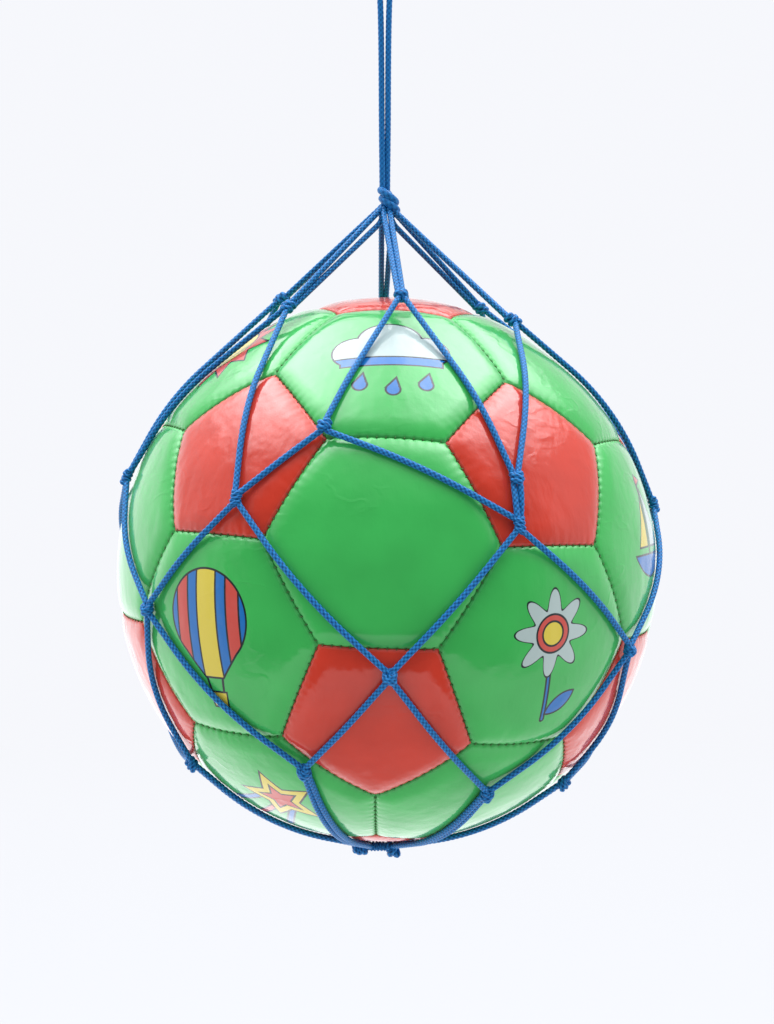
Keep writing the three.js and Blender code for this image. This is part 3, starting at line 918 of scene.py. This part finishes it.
def over_ball(a, b, slack=TAUT):
    """The shortest way for a cord on the ball, which leaves it straight; slack moves it aside."""
    start, axis = unit(a), unit(np.cross(a, b))
    turn = math.acos(float(unit(a) @ unit(b)))
    leaves = [math.acos(min(1.0, NET_RADIUS / np.linalg.norm(p))) for p in (a, b)]
    if sum(leaves) >= turn:
        return line(a, b)
    angle = np.linspace(0, turn, ARC_POINTS)
    off = np.maximum(0.0, np.maximum(leaves[0] - angle, leaves[1] - (turn - angle)))
    across = np.cross(axis, start)
    far, widest = slack
    skew = math.log(0.5) / math.log(widest)
    aside = far / NET_RADIUS * np.sin(math.pi * (angle / turn) ** skew)
    points = swept(angle, start, across) + aside[:, None] * axis
    return unit(points) * (NET_RADIUS / np.cos(off))[:, None]


def downhill(p):
    return unit(square_to(-UP, unit(p)))


def eastward(p):
    return unit(np.cross(UP, p))


EAST, MIDDLE, WEST = 1, 0, -1  # on which side of a knot a cord comes in or goes out


def between(a, b, leaves, enters, slack=TAUT):
    """A cord from the lower end of one knot to the upper end of another."""
    start = a + leaves * PAIR_HALF * eastward(a)
    end = b + enters * PAIR_HALF * eastward(b)
    way = over_ball(start + KNOT_HALF * downhill(start), end - KNOT_HALF * downhill(end), slack)
    return np.concatenate([[a], way, [b]])


# Each knot is cord wound round the strands: turns, their pitch, the winding's radius,
# the cord's own radius once pulled tight, and how far the turns slant.
KNOTS = {
    "button": (1.7, 1.2, 1.05, 0.95, 0.25),
    "leg": (2.1, 1.6, 1.05, 0.92, 0.45),
    "barrel": (3.5, 1.2, 0.9, 0.64, 0.5),
    "woven": (1.7, 1.35, 1.12, 0.77, 0.5),
    "small": (2.1, 1.3, 1.1, 0.8, 0.4),
}
KNOT_TUCK = 0.9  # radians of turn over which an end goes in
KNOT_TUCK_EASE = 0.7
KNOT_PROUD = 0.35  # of its strands
KNOT_END = 0.1  # share of a winding's radius where its ends lie
KNOT_END_PITCH = 0.6  # share of its pitch there
KNOT_SLANT_AT = 0.8  # radians from the front where its turns slant highest
KNOT_DEPTH = 0.96  # shares of its radius to the front and to the sides
KNOT_WIDTH = 1.08
WOVEN_START = 2.1  # radians from one winding of a woven knot to the other


def tucked_in(angle):
    """How far out a winding has come, from 0 at its ends to 1."""
    from_end = np.minimum(angle - angle[0], angle[-1] - angle)
    return np.clip(from_end / KNOT_TUCK, 0, 1) ** KNOT_TUCK_EASE


def wraps(middle, axis, kind, hand=1, start=0.0):
    """A cord wound round a knot, its ends tucked in."""
    turns, pitch, radius, thick, slant = KNOTS[kind]
    front = unit(square_to(unit(middle), axis))
    side = np.cross(axis, front) * hand
    angle = np.linspace(0, math.tau * turns, int(TURN_POINTS * turns))
    tucked = tucked_in(angle)
    reach = radius * (KNOT_END + (1 - KNOT_END) * tucked)
    turned_by = angle + start
    along = (angle / math.tau - turns / 2) * pitch
    along *= KNOT_END_PITCH + (1 - KNOT_END_PITCH) * tucked
    along += slant * radius * np.cos(turned_by - KNOT_SLANT_AT) * tucked
    around = swept(turned_by, KNOT_DEPTH * front, KNOT_WIDTH * side)
    path = middle + KNOT_PROUD * front + along[:, None] * axis + reach[:, None] * around

    def from_axis(p):
        return unit(square_to(p - middle, axis) + 1e-6 * front)

    return tube(path, from_axis, thick)


def woven_knot(middle, axis, hand):
    return [wraps(middle, axis, "woven", hand), wraps(middle, axis, "woven", -hand, WOVEN_START)]


def strand(path):
    return tube(path, outward, CORD_RADIUS)


top_knot = TOP_KNOT_HEIGHT * UP
touch_latitude = 90 - math.degrees(math.acos(NET_RADIUS / TOP_KNOT_HEIGHT))
touching = [NET_RADIUS * direction(azimuth, touch_latitude) for azimuth, _ in FIRST_KNOTS]
leg_along = [unit(point - top_knot) for point in touching]
first = [top_knot + along * drop for along, (_, drop) in zip(leg_along, FIRST_KNOTS)]
lower_rows = (SECOND_KNOTS, THIRD_KNOTS, FOURTH_KNOTS)
second, third, fourth = [[KNOT_SEAT * direction(*place) for place in row] for row in lower_rows]
slip = KNOT_SEAT * direction(*SLIP_KNOT)
tie = KNOT_SEAT * direction(*TIE_KNOT)
bottom_knots = [np.array([x, -BOTTOM_FORWARD, -KNOT_SEAT]) for x in (BOTTOM_LEFT, BOTTOM_RIGHT)]
LEGS = len(FIRST_KNOTS)


def twisted(a, b):
    """Two strands side by side with a slight twist, clear of the ball."""
    path = line(a, b)
    share = np.linspace(0, 1, len(path))
    out = unit(path)
    side = np.cross(unit(b - a), out)
    angle = math.tau * TIE_TWIST * (share - 0.5)
    offset = PAIR_HALF * swept(angle, side, out)
    lift = TIE_LIFT * np.sin(math.pi * share)[:, None] * out
    return [path + lift + offset, path + lift - offset]


def leg_pair(i):
    """Two strands that leave the top knot apart and close up at their own knot."""
    level = unit(np.cross(UP, leg_along[i]))
    aside = np.cross(leg_along[i], level) if i in STACKED_LEGS else level
    pair = []
    for sign, start in zip((1, -1), LEG_STARTS[i]):
        bend = top_knot + np.array(start)
        end = first[i] + sign * PAIR_CLOSE * PAIR_HALF * aside
        leaves = bend + LEG_BEND * unit(end - bend)
        inside = top_knot + np.array(start) * (LEG_INSIDE, LEG_INSIDE, 0.0)
        share = np.linspace(0, 1, 20)[:, None]
        curve = (1 - share) ** 2 * inside + 2 * share * (1 - share) * bend + share**2 * leaves
        pair.append(np.concatenate([curve, line(leaves, end)[1:]]))
    return pair


def bottom_pair(i):
    """Two strands over the ball to the gather, which part a little on their way."""
    left, right = bottom_knots
    to = right if i < LEGS // 2 else left + BOTTOM_TUCK * RIGHT
    path = over_ball(fourth[i], to)
    share = np.linspace(0, 1, len(path))[:, None]
    apart = PAIR_HALF * (PAIR_CLOSE + PAIR_OPEN * np.sin(math.pi * share))
    aside = apart * unit(np.cross(fourth[i], to))
    return [path + aside, path - aside]


def net_cord(i):
    """One doubled cord, zigzag from the top knot down to the gather."""
    before, after, hand = (i + LEGS - 1) % LEGS, (i + 1) % LEGS, 1 if i % 2 else -1
    ways = [
        *leg_pair(i),
        between(second[i], third[i], WEST, EAST),
        between(second[i], third[after], EAST, WEST, SLACK.get(("across", i), TAUT)),
        between(third[i], fourth[i], EAST, WEST, SLACK.get(("inner", i), TAUT)),
        between(third[i], fourth[before], WEST, EAST, SLACK.get(("outer", i), TAUT)),
        *bottom_pair(i),
    ]
    knots = [
        wraps(first[i], leg_along[i], "leg" if i else "button", hand),
        wraps(second[i], downhill(second[i]), "barrel", hand),
        *woven_knot(third[i], downhill(third[i]), hand),
        wraps(fourth[i], downhill(fourth[i]), "small", -hand),
    ]
    if i == 0:
        ways += [
            between(first[i], slip, WEST, MIDDLE),
            between(slip, second[before], WEST, EAST),
            between(slip, second[i], EAST, WEST),
            between(first[i], tie, EAST, WEST),
            *twisted(tie, second[i]),
        ]
        knots += [wraps(slip, downhill(slip), "small", hand), wraps(tie, downhill(tie), "small", hand)]
    else:
        ways.append(between(first[i], second[i], EAST, WEST))
        ways.append(between(first[i], tie if i == 1 else second[before], WEST, EAST))
    return [strand(way) for way in ways] + knots


def cord_piece(node, tubes):
    """Braided cord on the net, in the place of a CAD node."""
    points, faces, weave = joined(tubes)
    attributes = {"weave": weave}
    make_piece(f"{node}_braid", "net", cord_blue, placed(points), faces, attributes, [node])


for i in range(LEGS):
    cord_piece(f"net_cord_{i + 1}", net_cord(i))


def top_knot_tubes():
    """Two thick wraps that run down to the right, over the gathered strands."""
    tilt, lean = math.radians(TOP_KNOT_TILT), math.radians(TOP_KNOT_LEAN)
    axis = np.array([math.sin(tilt), 0.0, math.cos(tilt)])
    stacked = np.array([-math.sin(lean), 0.0, math.cos(lean)])
    front = -BACK
    side = np.cross(axis, front)
    middle = top_knot + TOP_WRAP_ASIDE * RIGHT + TOP_WRAP_RISE * UP
    angle = np.linspace(TOP_WRAP_FROM, math.tau + TOP_WRAP_PAST, ARC_POINTS)
    reach = TOP_WRAP_RADIUS * (TOP_WRAP_END + (1 - TOP_WRAP_END) * tucked_in(angle))
    along = (0.5 - angle / math.tau) * TOP_WRAP_PITCH
    path = middle + along[:, None] * stacked + reach[:, None] * swept(angle, front, side)
    core = line(*[top_knot + height * UP for height in TOP_CORE_SPAN])
    return [
        tube(path, lambda p: unit(square_to(p - middle, axis)), TOP_WRAP_THICK, relief=STRETCHED),
        tube(core, lambda p: front, TOP_CORE_RADIUS),
    ]


cord_piece("top_knot", top_knot_tubes())


def bottom_gather_tubes():
    """Two knots under the ball and a whipping of fine wraps between them."""
    left, right = bottom_knots
    middle = (left + right) / 2
    angle = np.linspace(0, math.tau * WHIPPING_TURNS, WHIPPING_POINTS)
    along = (angle / angle[-1] - 0.5) * (BOTTOM_RIGHT - BOTTOM_LEFT - WHIPPING_CLEAR)
    whipping = middle + along[:, None] * RIGHT + WHIPPING_RADIUS * swept(angle, -UP, BACK)
    lumps = [
        wraps(left + (-0.4, 0.0, -0.3), RIGHT, "leg", 1),
        wraps(right + (0.1, 0.0, -0.4), unit(RIGHT - 0.5 * UP), "leg", -1, start=1.0),
        wraps(right + (0.2, 0.0, -1.1), unit(RIGHT - 1.6 * UP), "button", 1),
    ]
    return [
        tube(line(left, right), outward, BOTTOM_CORE_RADIUS),
        tube(whipping, lambda p: unit(square_to(p - middle, RIGHT)), WHIPPING_THICK),
        *lumps,
    ]


cord_piece("bottom_gather", bottom_gather_tubes())


# Hanging loop: one cord from the top knot over the peg and back


def loop_route():
    """Points of the cord's middle, in millimetres from the peg."""
    inner = EYE_RADIUS - CORD_RADIUS
    drop = np.linspace(LOOP_LENGTH + LOOP_TUCK, 0, LOOP_POINTS)
    spread = PAIR_HALF + (EYE_RADIUS - PAIR_HALF) / (1 + (drop / EYE_TAPER) ** 2)
    turn = math.radians(LOOP_TURN) * smooth_step(drop, LOOP_TURN_FROM * LOOP_LENGTH, LOOP_LENGTH)
    left = np.stack([-spread * np.cos(turn), -spread * np.sin(turn), -inner - drop], -1)
    bend = np.linspace(math.pi, 0, EYE_POINTS)[1:-1]
    arch = np.stack([EYE_RADIUS * np.cos(bend), 0 * bend, EYE_RADIUS * np.sin(bend) - inner], -1)
    right = (left * np.array([-1, -1, 1]))[::-1]
    route = np.concatenate([left, arch, right])
    route[:, 0] -= LOOP_LEAN * smooth_step(-route[:, 2], 0.0, LOOP_LEAN_BY * LOOP_LENGTH)
    return route


route = loop_route()
points, faces, weave = tube(route, lambda p: -BACK, CORD_RADIUS, relief=STRETCHED)
attributes = {"weave": weave}
loop_nodes = ["hanging_strand_left", "hanging_strand_right", "hanging_eye"]
loop = make_piece("hanging_loop", None, cord_blue, points * MM, faces, attributes, loop_nodes)
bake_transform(loop)


# Stage, in metres: a pale floor that only the camera sees, and soft white surroundings

FLOOR_DROP = 0.22
FLOOR_RADIUS = 12.0
FLOOR_SIDES = 64
PAPER = (0.49, 0.495, 0.5)
PAPER_FADE = (0.5, 1.5)  # radii between which the floor fades
BACKDROP = (0.925, 0.935, 0.975)
FRONT_DARK = (0.06, 0.06, 0.065)
FRONT_FILL = 0.3  # how much soft light still comes from there
SIDE_LIGHT = 0.36  # soft light on the object beyond what the backdrop shows
FLOOR_LIGHT = 0.07  # more of it from below
OVERHEAD_LIGHT = 2.7  # more of it from above
OVERHEAD_GLOSS = 9.0  # the lamp there, as the gloss shows it
OVERHEAD_LEAN = 0.1  # of that towards the back
GLOSS_GAP = 0.8  # how much dimmer it is in the middle than at its left and right
BACK_GLOSS = 1.0  # more gloss from low down behind
LEFT_GLOSS = 0.5  # more gloss behind on the left, and as much less on the right
FLOOR_DULL = 0.45  # how much less of the floor the gloss shows

# On a unit dome, x right, y back, z up: where each of these starts and where it is full
FRONT_SIDES = (-0.12, -0.505)
FRONT_FOOT = (-0.57, -0.52)
FRONT_HEAD = (0.95, 0.495)
LIGHT_ABOVE = (0.6, 0.92)
LIGHT_BELOW = (0.0, -0.333)
GLOSS_ABOVE = (0.58, 0.92)
GLOSS_FRONT = (-0.667, 0.0)
GLOSS_SIDES = (0.0, 0.455)
GLOSS_BEHIND = (0.0, 0.5)
GLOSS_LOW = (0.35, -0.275)
DULL_BELOW = (-0.65, -0.9)


def paper_material():
    """Lit paper near the object that fades outwards to an even white."""
    material, tree, shader = new_material("floor_paper", Roughness=1.0, Specular_IOR_Level=0.0)
    x, y, _ = coordinate_fields(tree, "Object")
    faded = (x * x + y * y).sqrt().ramp(*PAPER_FADE)
    paper = mixed(tree, faded, PAPER, (0.0, 0.0, 0.0))
    tree.links.new(paper, shader.inputs["Base Color"])
    tree.links.new(faded.socket, shader.inputs["Emission Strength"])
    shader.inputs["Emission Color"].default_value = (*BACKDROP, 1.0)
    return material


floor_height = cad_box[0].z - FLOOR_DROP
turns = np.linspace(0, math.tau, FLOOR_SIDES, endpoint=False)
rim = [(FLOOR_RADIUS * math.cos(a), FLOOR_RADIUS * math.sin(a), floor_height) for a in turns]
floor_mesh = bpy.data.meshes.new("floor")
floor_mesh.from_pydata(rim, [], [list(range(FLOOR_SIDES))])
floor_mesh.materials.append(paper_material())
floor = bpy.data.objects.new("floor", floor_mesh)
scene.collection.objects.link(floor)
floor.visible_diffuse = floor.visible_glossy = floor.visible_shadow = False


def white_surroundings():
    """An even white, with a soft light overhead, and dark to the front."""
    world = bpy.data.worlds.new("white_surroundings")
    world.use_nodes = True
    tree = world.node_tree
    background = tree.nodes["Background"]
    x, y, z = coordinate_fields(tree, "Generated")
    ray = tree.nodes.new("ShaderNodeLightPath").outputs
    kinds = ("Is Camera Ray", "Is Diffuse Ray", "Is Glossy Ray")
    seen, soft, glossy = [Field(tree, ray[kind]) for kind in kinds]
    front = y.ramp(*FRONT_SIDES) * z.ramp(*FRONT_FOOT) * z.ramp(*FRONT_HEAD)
    dark = front * seen.ramp(1.0, 0.0) * (soft * -FRONT_FILL + 1.0)
    tree.links.new(mixed(tree, dark, BACKDROP, FRONT_DARK), background.inputs["Color"])
    light = z.ramp(*LIGHT_ABOVE) * OVERHEAD_LIGHT + z.ramp(*LIGHT_BELOW) * FLOOR_LIGHT + SIDE_LIGHT
    sides = x.abs().ramp(*GLOSS_SIDES) * GLOSS_GAP + (1.0 - GLOSS_GAP)
    lamp = (z + y * OVERHEAD_LEAN).ramp(*GLOSS_ABOVE) * y.ramp(*GLOSS_FRONT) * sides
    behind = y.ramp(*GLOSS_BEHIND) * (z.ramp(*GLOSS_LOW) * BACK_GLOSS - x * LEFT_GLOSS)
    gloss = lamp * OVERHEAD_GLOSS + behind - z.ramp(*DULL_BELOW) * FLOOR_DULL
    strength = gloss * glossy + light * soft + 1.0
    tree.links.new(strength.socket, background.inputs["Strength"])
    scene.world = world


white_surroundings()

# Camera, as fitted to the photograph: metres and degrees

CAMERA_DISTANCE = 0.6
CAMERA_ELEVATION = 5.0
CAMERA_PITCH = -3.437
CAMERA_LENS = 75.4  # millimetres

camera = bpy.data.objects.new("camera", bpy.data.cameras.new("camera"))
camera.location = BALL_MIDDLE + CAMERA_DISTANCE * direction(0.0, CAMERA_ELEVATION)
camera.rotation_euler = (math.radians(90 + CAMERA_PITCH), 0.0, 0.0)
camera.data.lens = CAMERA_LENS
scene.collection.objects.link(camera)
scene.camera = camera
scene.view_settings.view_transform = "Standard"
